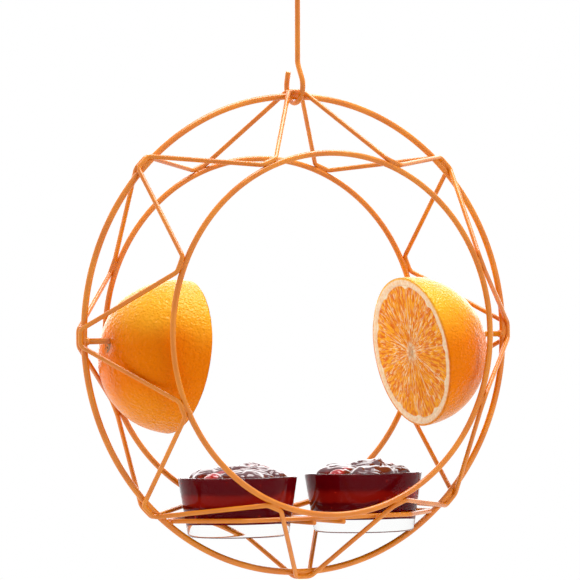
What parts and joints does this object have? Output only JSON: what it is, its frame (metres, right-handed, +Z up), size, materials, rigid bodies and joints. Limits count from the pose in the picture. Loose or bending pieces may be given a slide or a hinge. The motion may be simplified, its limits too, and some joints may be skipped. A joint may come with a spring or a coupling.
{
  "type": "oriole feeder",
  "caption": "Hanging wire wreath feeder for orioles, with spikes that hold halved oranges, glass cups of jelly in a low rack, and a long hook.",
  "frame": {"origin": "seat at the top of the hook, where a branch or a pole arm carries the feeder", "axes": "+Z up, -Y to the front, +X to the right; the rings lie in planes across Y"},
  "size_m": [0.2886, 0.0914, 0.3955],
  "materials": {
    "cage_wire": "satin orange powder coat on steel wire",
    "rack_wire": "satin orange powder coat on steel wire",
    "spike_wire": "satin orange powder coat on a pointed steel rod",
    "hook_wire": "satin orange powder coat on steel wire",
    "orange_peel": null,
    "orange_pulp": null,
    "cup_glass": "clear pressed glass",
    "jelly": null
  },
  "bodies": {
    "hook": {"hanging_hook": "hook_wire"},
    "feeder": {"outer_ring": "cage_wire", "front_ring": "cage_wire", "rear_ring": "cage_wire", "front_zigzag": "cage_wire", "rear_zigzag": "cage_wire", "rack_loop": "rack_wire", "left_rack_cross_wire": "rack_wire", "right_rack_cross_wire": "rack_wire", "left_fruit_spike": "spike_wire", "right_fruit_spike": "spike_wire", "left_orange_rind": "orange_peel", "right_orange_rind": "orange_peel", "left_orange_flesh": "orange_pulp", "right_orange_flesh": "orange_pulp", "left_jelly_cup": "cup_glass", "right_jelly_cup": "cup_glass", "left_grape_jelly": "jelly", "right_grape_jelly": "jelly"}
  },
  "joints": [
    {"name": "swing", "type": "hinge", "parent": "hook", "child": "feeder", "pos_m": [0, 0, -0.108], "axis": [1, 0, 0], "range_deg": [-55, 55]}
  ]
}
